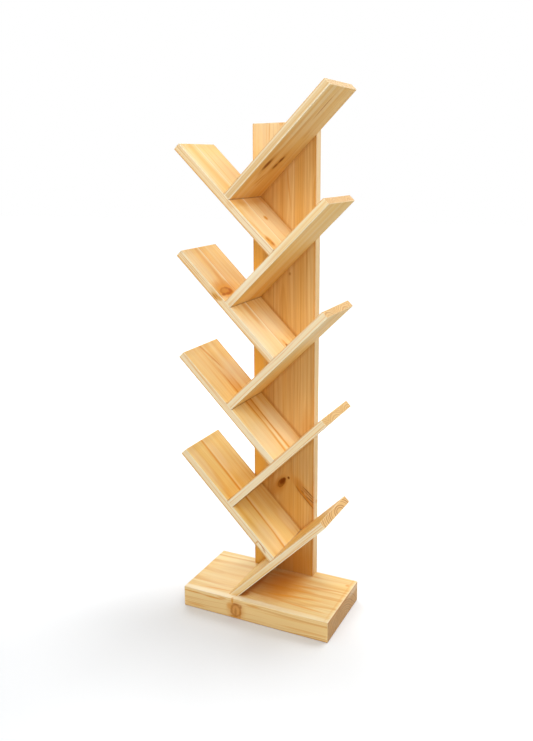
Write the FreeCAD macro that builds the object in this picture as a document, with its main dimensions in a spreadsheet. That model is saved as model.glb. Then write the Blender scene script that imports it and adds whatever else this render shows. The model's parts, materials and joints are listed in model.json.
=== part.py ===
import FreeCAD, Part
import os

import Sketcher
from FreeCAD import Vector

# A tree-shaped book stand in solid pine. A heavy base block carries an upright spine plank, and nine
# boards zigzag up the front of the spine: right and left boards in turn, each standing with its square
# lower end on the upper face of the board below. The lowest board stands on the base block.
#
# Frame: origin at the middle of the base block's underside, +Z up, +X to the right as seen from the
# front, and the front of the stand faces -Y. The spine's back face is flush with the base block's.

# Driving dimensions in millimetres, degrees for the angle: name, value, meaning.
DIMENSIONS = (
    ("base_width", 440, "base block, left to right"),
    ("base_depth", 250, "base block, front to back"),
    ("base_height", 60, "base block, floor to top face"),
    ("base_edge_round", 3, "radius that eases the base block's edges"),
    ("spine_width", 188, "spine plank, left to right"),
    ("spine_thickness", 34, "spine plank, front to back"),
    ("spine_top_margin", 6, "spine top over the point where the top board leaves the spine"),
    ("spine_edge_round", 2, "radius that eases the spine's edges"),
    ("board_count", 9, "slanting boards, counted up from the base"),
    ("board_length", 384, "upper face of a board, along its slope"),
    ("board_depth", 198, "board, front edge to back edge"),
    ("board_thickness", 21, "board, square to its faces"),
    ("board_angle", 45, "slope of every board over the floor"),
    ("board_edge_round", 1.5, "radius that eases the boards' edges"),
    ("joint_rise", 140.5, "height from one board's lower end to the next board's"),
    ("joint_shift", 13.5, "middle of the zigzag, left of the spine's middle"),
    ("dowel_diameter", 8, "beech dowel"),
    ("dowel_length", 30, "beech dowel"),
    ("dowel_seat_depth", 12, "length of the dowel in the piece that the board stands on"),
    ("dowel_inset", 50, "dowel axis from the board's front and back edges"),
    ("dowel_end_bevel", 1, "bevel on both ends of a dowel"),
    ("board_screw_length", 70, "countersunk screw through the spine into a board's back edge"),
    ("board_screw_diameter", 5, "its shank and thread"),
    ("board_screw_head", 10, "its head's diameter"),
    ("board_screw_margin", 30, "screw axis from the board's lower end and from the spine's edge"),
    ("foot_screw_length", 100, "countersunk screw up through the base into the spine's lower end"),
    ("foot_screw_diameter", 6, "its shank and thread"),
    ("foot_screw_head", 12, "its head's diameter"),
    ("foot_screw_count", 3, "screws in a row along the spine's lower end"),
    ("foot_screw_spacing", 60, "distance between neighbouring foot screws"),
    ("screw_rim", 0.6, "straight rim of a screw head, over its cone"),
    ("screw_tip", 6, "length of a screw's pointed tip"),
    ("screw_clearance", 0.25, "gap round a screw's shank in the piece that its head holds"),
    ("drive_span", 5.4, "cross recess in a screw head, end to end"),
    ("drive_slot", 1.4, "width of the cross recess's slots"),
    ("drive_depth", 2.5, "depth of the cross recess"),
    ("drill_overrun", 5, "length that a drill runs past the far face of what it drills"),
)

# Layout worked out from the driving dimensions: name, formula, meaning. An end offset is the distance
# from the spine's middle line to the upper corner of a board's lower end.
LAYOUT = (
    ("swing", "dims.joint_rise / tan(dims.board_angle) / 2", "half the width that the joints zigzag over"),
    ("right_end_offset", "swing + dims.joint_shift", "end offset of the right boards"),
    ("left_end_offset", "swing - dims.joint_shift", "end offset of the left boards"),
    ("tee_bevel", "dims.board_thickness * cos(2 * dims.board_angle) / sin(2 * dims.board_angle)",
     "lower face shorter than the upper one, at an end that stands on another board"),
    ("foot_bevel", "dims.board_thickness * cos(dims.board_angle) / sin(dims.board_angle)",
     "lower face shorter than the upper one, at the end that stands on the base block"),
    ("middle_drop", "dims.board_thickness / cos(dims.board_angle) / 2",
     "a board's middle plane below its upper face, measured straight down"),
    ("back_face", "dims.base_depth / 2", "Y of the base block's and the spine's back faces"),
    ("spine_middle", "back_face - dims.spine_thickness / 2", "Y of the spine's middle plane"),
    ("board_middle", "back_face - dims.spine_thickness - dims.board_depth / 2", "Y of the boards' middle"),
)

# Edges nearer to a face than this share of the piece's diagonal lie on that face.
SAME_PLACE_SHARE = 1e-6

# What the two sides of the zigzag share: the sign of X towards a board's tip, and its turn about Z.
SIDES = (
    {"name": "right", "sign": 1, "turn": 0},
    {"name": "left", "sign": -1, "turn": 180},
)


# The sheet and the layout.

def add_sheet(doc):
    """Puts the driving dimensions into a spreadsheet, one named cell each."""
    sheet = doc.addObject("Spreadsheet::Sheet", "dims")
    for row, (name, value, meaning) in enumerate(DIMENSIONS, start=1):
        sheet.set(f"A{row}", meaning)
        sheet.set(f"B{row}", str(value))
        sheet.setAlias(f"B{row}", name)
    doc.recompute()
    return sheet


def add_layout(doc):
    """Adds the values that follow from the driving dimensions, each bound to its formula."""
    layout = doc.addObject("App::VarSet", "layout")
    for name, formula, meaning in LAYOUT:
        layout.addProperty("App::PropertyFloat", name, "Layout", meaning)
        layout.setExpression(name, formula)
    doc.recompute()
    return layout


# Sketch helpers.

def add_sketch(body, name, role):
    """Adds a sketch to the body, flat on the origin plane with that role."""
    sketch = body.newObject("Sketcher::SketchObject", name)
    plane = next(plane for plane in body.Origin.OriginFeatures if plane.Role == role)
    sketch.AttachmentSupport = (plane, [""])
    sketch.MapMode = "FlatFace"
    return sketch


def pin_point(sketch, line, point):
    """Ties the start of a line to the point's two formulas, measured from the sketch's origin."""
    across, up = point
    if (across, up) == ("0", "0"):
        sketch.addConstraint(Sketcher.Constraint("Coincident", line, 1, -1, 1))
        return
    for kind, formula, axis in (("DistanceX", across, -2), ("DistanceY", up, -1)):
        if formula == "0":
            sketch.addConstraint(Sketcher.Constraint("PointOnObject", line, 1, axis))
        else:
            value = float(sketch.evalExpression(formula))
            index = sketch.addConstraint(Sketcher.Constraint(kind, -1, 1, line, 1, value))
            sketch.setExpression(f"Constraints[{index}]", formula)


def add_outline(sketch, points):
    """Draws a closed outline through points that are given as pairs of formulas."""
    corners = [Vector(*(float(sketch.evalExpression(formula)) for formula in point)) for point in points]
    for start, end in zip(corners, corners[1:] + corners[:1]):
        sketch.addGeometry(Part.LineSegment(start, end), False)
    for line in range(len(points)):
        sketch.addConstraint(Sketcher.Constraint("Coincident", line, 2, (line + 1) % len(points), 1))
    for line, point in enumerate(points):
        pin_point(sketch, line, point)


def rectangle(width, height):
    """Gives the corners of a rectangle centred on the origin, as formulas."""
    right, top = f"({width}) / 2", f"({height}) / 2"
    return [(f"-{right}", f"-{top}"), (right, f"-{top}"), (right, top), (f"-{right}", top)]


def cross(span, slot):
    """Gives the corners of a cross centred on the origin, anticlockwise, as formulas."""
    far, near = f"({span}) / 2", f"({slot}) / 2"
    arm = [(far, f"-{near}"), (far, near), (near, near)]
    corners = []
    for _quarter in range(4):
        corners += arm
        arm = [(f"-({up})", across) for across, up in arm]
    return corners


# Blanks: the wooden pieces before they are drilled, each in a frame of its own.

def add_pad(body, sketch, name, length, midplane=False):
    """Pads a sketch by a formula's length."""
    pad = body.newObject("PartDesign::Pad", name)
    pad.Profile = sketch
    pad.Midplane = midplane
    pad.setExpression("Length", length)
    sketch.Document.recompute()
    return pad


def ease_edges(body, feature, names, radius):
    """Rounds the named edges of a feature by a formula's radius."""
    fillet = body.newObject("PartDesign::Fillet", "eased_edges")
    fillet.Base = (feature, names)
    fillet.setExpression("Radius", radius)


def edges_that_reach(feature, axis):
    """Names the feature's edges that touch its far face along an axis, such as XMax."""
    far = getattr(feature.Shape.BoundBox, axis)
    size = feature.Shape.BoundBox.DiagonalLength
    return [
        f"Edge{number}"
        for number, edge in enumerate(feature.Shape.Edges, start=1)
        if far - getattr(edge.BoundBox, axis) < size * SAME_PLACE_SHARE
    ]


def add_base_blank(doc):
    """The base block, centred on the origin and standing on the floor."""
    body = doc.addObject("PartDesign::Body", "base_blank")
    sketch = add_sketch(body, "base_outline", "XY_Plane")
    add_outline(sketch, rectangle("dims.base_width", "dims.base_depth"))
    pad = add_pad(body, sketch, "base_pad", "dims.base_height")
    every_edge = [f"Edge{number}" for number in range(1, len(pad.Shape.Edges) + 1)]
    ease_edges(body, pad, every_edge, "dims.base_edge_round")
    return body


def add_spine_blank(doc, top_side):
    """The spine plank, standing on the base block and reaching just over the top board's crossing."""
    run = f"(layout.{top_side}_end_offset + dims.spine_width / 2)"
    height = f"(dims.board_count - 1) * dims.joint_rise + {run} * tan(dims.board_angle)"
    body = doc.addObject("PartDesign::Body", "spine_blank")
    sketch = add_sketch(body, "spine_section", "XY_Plane")
    add_outline(sketch, rectangle("dims.spine_width", "dims.spine_thickness"))
    pad = add_pad(body, sketch, "spine_pad", f"{height} + dims.spine_top_margin")
    ease_edges(body, pad, edges_that_reach(pad, "ZMax"), "dims.spine_edge_round")
    position = "vector(0; layout.spine_middle; dims.base_height)"
    body.setExpression("Placement", f"placement({position}; rotation(0; 0; 0))")
    return body


def add_board_blank(doc, label, bevel):
    """A board along +X from the upper corner of its lower end, which is cut back below by the bevel."""
    body = doc.addObject("PartDesign::Body", label)
    sketch = add_sketch(body, f"{label}_profile", "XZ_Plane")
    lower_face = "-dims.board_thickness"
    tip = "dims.board_length"
    add_outline(sketch, [("0", "0"), (tip, "0"), (tip, lower_face), (bevel, lower_face)])
    pad = add_pad(body, sketch, f"{label}_pad", "dims.board_depth", midplane=True)
    ease_edges(body, pad, edges_that_reach(pad, "XMax"), "dims.board_edge_round")
    return body


# Fasteners: each is made once in a frame of its own, and placed as often as it is used.

def add_dowel(doc):
    """A beech dowel along +Z, with bevelled ends."""
    radius, length, bevel = "dims.dowel_diameter / 2", "dims.dowel_length", "dims.dowel_end_bevel"
    outline = [
        ("0", "0"), (f"{radius} - {bevel}", "0"), (radius, bevel), (radius, f"{length} - {bevel}"),
        (f"{radius} - {bevel}", length), ("0", length),
    ]
    return add_turned(doc, "dowel", outline)


def add_turned(doc, label, outline):
    """A body turned about the Z axis from a half outline in the XZ plane."""
    body = doc.addObject("PartDesign::Body", label)
    sketch = add_sketch(body, f"{label}_outline", "XZ_Plane")
    add_outline(sketch, outline)
    turned = body.newObject("PartDesign::Revolution", f"{label}_turned")
    turned.Profile = sketch
    turned.ReferenceAxis = (sketch, ["V_Axis"])
    doc.recompute()
    return body


def head_outline(screw, shank_radius):
    """The upper part of a countersunk screw's half outline, from its flat top to the start of its shank."""
    head = f"dims.{screw}_head / 2"
    return [("0", "0"), (head, "0"), (head, "-dims.screw_rim"),
            (shank_radius, f"{shank_radius} - {head} - dims.screw_rim")]


def add_screw(doc, screw):
    """A countersunk wood screw that points down from its head at the origin, with a cross recess."""
    shank = f"dims.{screw}_diameter / 2"
    length = f"dims.{screw}_length"
    outline = head_outline(screw, shank) + [(shank, f"dims.screw_tip - {length}"), ("0", f"-{length}")]
    body = add_turned(doc, screw, outline)
    solid_volume = body.Shape.Volume
    sketch = add_sketch(body, f"{screw}_cross", "XY_Plane")
    add_outline(sketch, cross("dims.drive_span", "dims.drive_slot"))
    pocket = body.newObject("PartDesign::Pocket", f"{screw}_drive")
    pocket.Profile = sketch
    pocket.setExpression("Length", "dims.drive_depth")
    doc.recompute()
    if body.Shape.Volume >= solid_volume:
        raise RuntimeError(f"the cross recess of {screw} cuts nothing")
    return body


def add_drill(doc, screw, drilled_length):
    """The countersunk clearance hole for a screw, as the solid that the drill takes away."""
    shank = f"(dims.{screw}_diameter / 2 + dims.screw_clearance)"
    bottom = f"-({drilled_length}) - dims.drill_overrun"
    return add_turned(doc, f"{screw}_drill", head_outline(screw, shank) + [(shank, bottom), ("0", bottom)])


# Placing.

def place(doc, label, blank, position, rotation):
    """Places one more copy of a blank, by three formulas and three angles (turns about Z, Y and X)."""
    copy = doc.addObject("App::Link", label)
    copy.LinkedObject = blank
    where, turned = "; ".join(position), "; ".join(rotation)
    copy.setExpression("Placement", f"placement(vector({where}); rotation({turned}))")
    return copy


def group(doc, label, members):
    """Groups separate solids in one object."""
    compound = doc.addObject("Part::Compound", label)
    compound.Links = members
    return compound


def cut(doc, label, piece, tools):
    """Drills a placed piece with all the tools, and names what is left."""
    result = doc.addObject("Part::Cut", label)
    result.Base = piece
    result.Tool = group(doc, f"{label}_drilling", tools)
    return result


def lower_end_height(number):
    """The height of a board's lower end, as a formula. The boards are numbered from 0."""
    return f"dims.base_height + {number} * dims.joint_rise"


def place_board(doc, label, blank, number, side):
    """Stands a board on its joint, sloping up to its side."""
    end_x = f"{-side['sign']} * layout.{side['name']}_end_offset"
    position = (end_x, "layout.board_middle", lower_end_height(number))
    return place(doc, f"{label}_blank", blank, position, (str(side["turn"]), "-dims.board_angle", "0"))


def place_dowels(doc, label, dowel, number, side, bevel):
    """Puts two dowels along a board's slope, through the joint at its lower end."""
    offset = f"layout.{side['name']}_end_offset"
    start = f"({bevel} / 2 - dims.dowel_seat_depth)"
    half = "dims.board_thickness / 2"
    run = f"({start} * cos(dims.board_angle) + {half} * sin(dims.board_angle) - {offset})"
    rise = f"{start} * sin(dims.board_angle) - {half} * cos(dims.board_angle)"
    reach = "(dims.board_depth / 2 - dims.dowel_inset)"
    turns = ("0", f"{side['sign']} * (90 - dims.board_angle)", "0")
    dowels = []
    for place_name, direction in (("front", "-"), ("back", "+")):
        position = (f"{side['sign']} * {run}", f"layout.board_middle {direction} {reach}",
                    f"{lower_end_height(number)} + {rise}")
        dowels.append(place(doc, f"{label}_dowel_{place_name}", dowel, position, turns))
    return group(doc, f"{label}_dowels", dowels)


def screw_runs(side):
    """How far to the board's side its two screws lie from its lower end: formulas, near one first."""
    offset = f"layout.{side['name']}_end_offset"
    near = f"(max(0; {offset} - dims.spine_width / 2) + dims.board_screw_margin)"
    far = f"({offset} + dims.spine_width / 2 - dims.board_screw_margin)"
    return {"near": near, "far": far}


def place_board_screws(doc, label, screw, number, side):
    """Puts a screw or its drill at each of a board's two places, pointing forwards from the spine's back."""
    offset = f"layout.{side['name']}_end_offset"
    placed = []
    for place_name, run in screw_runs(side).items():
        height = f"{lower_end_height(number)} + {run} * tan(dims.board_angle) - layout.middle_drop"
        position = (f"{side['sign']} * ({run} - {offset})", "layout.back_face", height)
        placed.append(place(doc, f"{label}_{place_name}", screw, position, ("0", "0", "-90")))
    return group(doc, label, placed)


def place_foot_screws(doc, label, screw, count):
    """Puts the foot screws, or their drills, in a row under the spine, pointing up."""
    placed = []
    for number in range(count):
        across = f"({number} - (dims.foot_screw_count - 1) / 2) * dims.foot_screw_spacing"
        position = (across, "layout.spine_middle", "0")
        placed.append(place(doc, f"{label}_{number + 1}", screw, position, ("0", "0", "180")))
    return group(doc, label, placed)


# The whole stand.

def board_side(number):
    """The side that a board slopes up to: the lowest goes right, and the sides alternate."""
    return SIDES[number % len(SIDES)]


def board_label(number):
    """The name of a board: its side, and its place on that side counted from the base."""
    return f"{board_side(number)['name']}_board_{number // len(SIDES) + 1}"


def add_stand(doc, sheet):
    """Builds every piece of the stand and returns the finished ones."""
    board_count = int(sheet.board_count)
    foot_screw_count = int(sheet.foot_screw_count)
    dowel = add_dowel(doc)
    board_screw = add_screw(doc, "board_screw")
    foot_screw = add_screw(doc, "foot_screw")
    board_drill = add_drill(doc, "board_screw", "dims.spine_thickness")
    foot_drill = add_drill(doc, "foot_screw", "dims.base_height")
    foot_board_blank = add_board_blank(doc, "foot_board_blank", "layout.foot_bevel")
    board_blank = add_board_blank(doc, "board_blank", "layout.tee_bevel")

    screws, dowels, spine_drills = [], [], []
    for number in range(board_count):
        side, label = board_side(number), board_label(number)
        bevel = "layout.tee_bevel" if number else "layout.foot_bevel"
        dowels.append(place_dowels(doc, label, dowel, number, side, bevel))
        screws.append(place_board_screws(doc, f"{label}_screws", board_screw, number, side))
        spine_drills.append(place_board_screws(doc, f"{label}_drills", board_drill, number, side))
    foot_screws = place_foot_screws(doc, "spine_foot_screws", foot_screw, foot_screw_count)
    foot_drills = place_foot_screws(doc, "spine_foot_drills", foot_drill, foot_screw_count)

    base = cut(doc, "base_block", add_base_blank(doc), [foot_drills, dowels[0]])
    spine_blank = add_spine_blank(doc, board_side(board_count - 1)["name"])
    spine = cut(doc, "spine_plank", spine_blank, spine_drills + [foot_screws])
    boards = []
    for number in range(board_count):
        label = board_label(number)
        blank = board_blank if number else foot_board_blank
        placed = place_board(doc, label, blank, number, board_side(number))
        tools = [screws[number]] + dowels[number:number + 2]
        boards.append(cut(doc, label, placed, tools))
    doc.recompute()
    return [base, spine, foot_screws] + boards + screws + dowels


def check_document(doc, pieces):
    """Stops if anything in the document failed, or if a piece is empty, broken or undrilled."""
    for thing in doc.Objects:
        if {"Invalid", "Error"} & set(thing.State):
            raise RuntimeError(f"{thing.Label} failed: {thing.State}")
    for piece in pieces:
        if piece.Shape.isNull() or not piece.Shape.isValid():
            raise RuntimeError(f"{piece.Label} has no valid shape")
        if piece.TypeId == "Part::Cut":
            blank_volume = Part.getShape(piece.Base).Volume
            if len(piece.Shape.Solids) != 1 or piece.Shape.Volume >= blank_volume:
                raise RuntimeError(f"{piece.Label} is in pieces, or was not drilled")


def main():
    """Builds the stand, checks it and writes one STEP file for each piece."""
    doc = FreeCAD.newDocument("book_stand")
    sheet = add_sheet(doc)
    add_layout(doc)
    pieces = add_stand(doc, sheet)
    check_document(doc, pieces)
    os.makedirs("parts", exist_ok=True)
    for piece in pieces:
        piece.Shape.exportStep(f"parts/{piece.Label}.step")
        print(f"{piece.Label}: {len(piece.Shape.Solids)} solid(s), {piece.Shape.Volume / 1000:.1f} ml")


main()
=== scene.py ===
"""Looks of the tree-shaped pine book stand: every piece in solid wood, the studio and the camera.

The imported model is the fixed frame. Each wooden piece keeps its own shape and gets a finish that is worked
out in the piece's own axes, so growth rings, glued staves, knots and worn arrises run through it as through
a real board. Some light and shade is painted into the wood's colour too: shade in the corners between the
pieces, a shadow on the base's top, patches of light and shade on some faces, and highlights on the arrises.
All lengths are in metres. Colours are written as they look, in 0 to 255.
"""

import json
import logging
import math
from dataclasses import dataclass, field, replace
from enum import Enum
from typing import Dict, List, Optional, Sequence, Tuple, Union

import bpy
from bpy.types import Material, Node, NodeSocket, NodeTree, Object, World
from mathutils import Matrix, Vector

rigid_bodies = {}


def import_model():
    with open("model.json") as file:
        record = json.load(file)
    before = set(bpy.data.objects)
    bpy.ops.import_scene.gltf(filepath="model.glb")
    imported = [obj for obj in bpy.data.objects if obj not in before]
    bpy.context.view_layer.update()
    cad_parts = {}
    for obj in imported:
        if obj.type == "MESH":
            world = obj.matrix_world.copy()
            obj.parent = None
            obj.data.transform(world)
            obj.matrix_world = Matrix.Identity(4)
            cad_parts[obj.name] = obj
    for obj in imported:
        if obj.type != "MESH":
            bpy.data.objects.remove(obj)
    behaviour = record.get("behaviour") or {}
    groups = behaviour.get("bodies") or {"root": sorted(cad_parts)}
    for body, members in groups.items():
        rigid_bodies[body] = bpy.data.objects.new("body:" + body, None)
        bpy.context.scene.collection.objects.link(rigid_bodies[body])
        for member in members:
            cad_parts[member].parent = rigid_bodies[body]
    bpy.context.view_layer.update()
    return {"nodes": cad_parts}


Number3 = Tuple[float, float, float]
Operand = Union[float, Sequence[float], NodeSocket]

WHITE = (1.0, 1.0, 1.0, 1.0)

# How far a seed moves the figure, and the fineness of each layer of it, along, across and up.
SEED_SHIFT: Number3 = (1.7, 0.31, 0.53)
DRIFT_SCALE: Number3 = (3.2, 9.0, 9.0)
FIBRE_SCALE: Number3 = (14.0, 620.0, 620.0)
RAGGED_SCALE: Number3 = (45.0, 150.0, 150.0)
STAVE_SHIFT: Number3 = (3.0, 0.05, 0.03)
SEAM_WIDTH = (0.0003, 0.0014)

# How squarely a face looks along an axis where it begins to count as an end or edge, and where it fully does.
FACE_TURN = (0.75, 0.95)

# The reach of a line that runs over a whole piece.
ENDLESS = 3.0

# Where a mark's parts begin and end, in its own reach, and how much each covers.
CORE_FADE, HALO_FADE = (0.72, 1.08), (0.6, 2.3)
RIM_RISE, RIM_FALL = (0.62, 0.85), (0.95, 1.25)
HALO_SHARE, CORE_SHARE, RIM_SHARE = 0.8, 0.85, 0.6
KNOT_RINGS = 1.6

for leftover in list(bpy.data.objects):
    bpy.data.objects.remove(leftover)
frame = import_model()

log = logging.getLogger("book_stand")


def tint(red: float, green: float, blue: float) -> Tuple[float, float, float, float]:
    """Turns a colour as it looks into the linear colour that a shader takes.

    Args:
        red: 0 to 255.
        green: 0 to 255.
        blue: 0 to 255.

    Returns:
        The linear colour with full alpha.
    """
    def linear(channel: float) -> float:
        """Undoes the display curve of one channel."""
        share = channel / 255
        return share / 12.92 if share <= 0.04045 else ((share + 0.055) / 1.055) ** 2.4

    return linear(red), linear(green), linear(blue), 1.0


class Graph:
    """Adds nodes to one node tree and links them."""

    def __init__(self, tree: NodeTree) -> None:
        """Keeps the tree that the nodes go to."""
        self.tree = tree

    def node(self, kind: str, inputs: Optional[Dict[Union[str, int], Operand]] = None,
             **settings: object) -> Node:
        """Adds a node.

        Args:
            kind: Blender's name for the type of node.
            inputs: What feeds each of its inputs, a socket or a constant.
            **settings: The node's own settings.

        Returns:
            The new node.
        """
        node = self.tree.nodes.new(kind)
        for name, value in settings.items():
            setattr(node, name, value)
        for key, operand in (inputs or {}).items():
            self.feed(node.inputs[key], operand)
        return node

    def feed(self, socket: NodeSocket, operand: Operand) -> None:
        """Links a socket to an operand, or sets it to a constant.

        Args:
            socket: The input.
            operand: The socket that feeds it, or a constant.
        """
        if isinstance(operand, NodeSocket):
            self.tree.links.new(operand, socket)
        else:
            socket.default_value = operand

    def math(self, operation: str, *operands: Operand) -> NodeSocket:
        """Adds a Math node and gives its output."""
        return self.node("ShaderNodeMath", dict(enumerate(operands)), operation=operation).outputs[0]

    def times(self, one: Operand, other: Operand) -> NodeSocket:
        """Multiplies two numbers."""
        return self.math("MULTIPLY", one, other)

    def plus(self, one: Operand, other: Operand) -> NodeSocket:
        """Adds two numbers."""
        return self.math("ADD", one, other)

    def minus(self, one: Operand, other: Operand) -> NodeSocket:
        """Takes the second number from the first."""
        return self.math("SUBTRACT", one, other)

    def vector(self, operation: str, *operands: Operand) -> NodeSocket:
        """Adds a Vector Math node and gives its output, a number for lengths and dot products.

        Args:
            operation: Blender's name for what the node does.
            *operands: What feeds its inputs, in order.

        Returns:
            The output.
        """
        node = self.node("ShaderNodeVectorMath", operation=operation)
        for index, operand in enumerate(operands):
            self.feed(node.inputs["Scale" if operation == "SCALE" and index else index], operand)
        return node.outputs["Value" if operation in ("DOT_PRODUCT", "LENGTH") else "Vector"]

    def centred(self, colour: Operand) -> NodeSocket:
        """Moves a random colour's numbers to lie evenly about nought."""
        return self.vector("SUBTRACT", colour, (0.5, 0.5, 0.5))

    def split(self, vector: Operand) -> Tuple[NodeSocket, ...]:
        """Takes a vector apart into its three numbers."""
        return tuple(self.node("ShaderNodeSeparateXYZ", {0: vector}).outputs)

    def join(self, along: Operand, across: Operand, up: Operand) -> NodeSocket:
        """Makes a vector of three numbers."""
        return self.node("ShaderNodeCombineXYZ", {0: along, 1: across, 2: up}).outputs[0]

    def fade(self, value: Operand, start: Operand, end: Operand, low: Operand = 0.0,
             high: Operand = 1.0) -> NodeSocket:
        """Goes smoothly from low to high as value goes from start to end."""
        inputs = {"Value": value, "From Min": start, "From Max": end, "To Min": low, "To Max": high}
        return self.node("ShaderNodeMapRange", inputs, interpolation_type="SMOOTHSTEP").outputs[0]

    def mix(self, share: Operand, below: Operand, above: Operand, mode: str = "MIX") -> NodeSocket:
        """Lays one colour over another."""
        inputs = {0: share, 6: below, 7: above}
        return self.node("ShaderNodeMix", inputs, data_type="RGBA", blend_type=mode).outputs[2]

    def noise(self, vector: Operand, detail: float = 2.0, roughness: float = 0.5) -> Node:
        """Adds a noise texture that varies about once a unit of its vector."""
        inputs = {"Vector": vector, "Scale": 1.0, "Detail": detail, "Roughness": roughness}
        return self.node("ShaderNodeTexNoise", inputs)

    def effect(self, tree: NodeTree, inputs: Dict[str, Operand]) -> Node:
        """Places a shared effect with this material's own values.

        Args:
            tree: The effect's node group.
            inputs: What feeds each of its inputs.

        Returns:
            The new node.
        """
        node = self.tree.nodes.new("ShaderNodeGroup")
        node.node_tree = tree
        for name, operand in inputs.items():
            self.feed(node.inputs[name], operand)
        return node


def empty_graph(holder: Union[Material, World]) -> Graph:
    """Switches a material or the surroundings to nodes, and gives their empty graph.

    Args:
        holder: The material or the world.

    Returns:
        The graph to fill.
    """
    holder.use_nodes = True
    holder.node_tree.nodes.clear()
    return Graph(holder.node_tree)


class Socket(Enum):
    """The kinds of socket that the shared effects use."""

    NUMBER = "NodeSocketFloat"
    VECTOR = "NodeSocketVector"


NUMBER, VECTOR = Socket


class Effect:
    """A shader node group under construction, with named inputs and outputs."""

    def __init__(self, name: str, inputs: Dict[str, Socket], outputs: Dict[str, Socket]) -> None:
        """Makes the empty group and its sockets.

        Args:
            name: The group's name.
            inputs: The kind of each input.
            outputs: The kind of each output.
        """
        self.tree = bpy.data.node_groups.new(name, "ShaderNodeTree")
        for direction, sockets in (("INPUT", inputs), ("OUTPUT", outputs)):
            for socket, kind in sockets.items():
                self.tree.interface.new_socket(socket, in_out=direction, socket_type=kind.value)
        self.graph = Graph(self.tree)
        self.source = self.graph.node("NodeGroupInput").outputs
        self.result = self.graph.node("NodeGroupOutput").inputs

    def give(self, name: str, value: Operand) -> None:
        """Sends a value to one of the group's outputs."""
        self.graph.feed(self.result[name], value)


def piece_axes_effect() -> NodeTree:
    """Builds the effect that finds a point, and the way its surface faces, in a piece's own axes.

    Returns:
        The node group.
    """
    effect = Effect(
        "piece axes",
        {"Origin": VECTOR, "Along": VECTOR, "Across": VECTOR, "Up": VECTOR},
        {"Local": VECTOR, "Facing": VECTOR},
    )
    g, source = effect.graph, effect.source
    place = g.node("ShaderNodeTexCoord")
    offset = g.vector("SUBTRACT", place.outputs["Object"], source["Origin"])
    for name, vector in (("Local", offset), ("Facing", place.outputs["Normal"])):
        parts = [g.vector("DOT_PRODUCT", vector, source[axis]) for axis in ("Along", "Across", "Up")]
        effect.give(name, g.join(*parts))
    return effect.tree


def staves_effect() -> NodeTree:
    """Builds the effect of a board glued up from staves: each has its own figure and tone.

    Returns:
        The node group.
    """
    effect = Effect(
        "glued staves",
        {"Local": VECTOR, "Width": NUMBER, "First Seam": NUMBER, "Spread": NUMBER, "Seed": NUMBER},
        {"Shift": VECTOR, "Tone": NUMBER, "Seam": NUMBER},
    )
    g, source = effect.graph, effect.source
    across = g.split(source["Local"])[1]
    count = g.math("DIVIDE", g.minus(across, source["First Seam"]), source["Width"])
    number = g.math("FLOOR", count)
    draw = g.node("ShaderNodeTexWhiteNoise", {"W": g.plus(number, source["Seed"])}, noise_dimensions="1D")
    centred = g.centred(draw.outputs["Color"])
    middle = g.times(g.plus(number, 0.5), source["Width"])
    middle = g.plus(middle, source["First Seam"])
    spread = g.vector("SCALE", g.vector("MULTIPLY", centred, STAVE_SHIFT), source["Spread"])
    effect.give("Shift", g.vector("SUBTRACT", spread, g.join(0.0, middle, 0.0)))
    effect.give("Tone", g.minus(draw.outputs["Value"], 0.5))
    apart = g.math("PINGPONG", count, 0.5)
    effect.give("Seam", g.fade(g.times(apart, source["Width"]), *SEAM_WIDTH, 1.0, 0.0))
    return effect.tree


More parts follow.
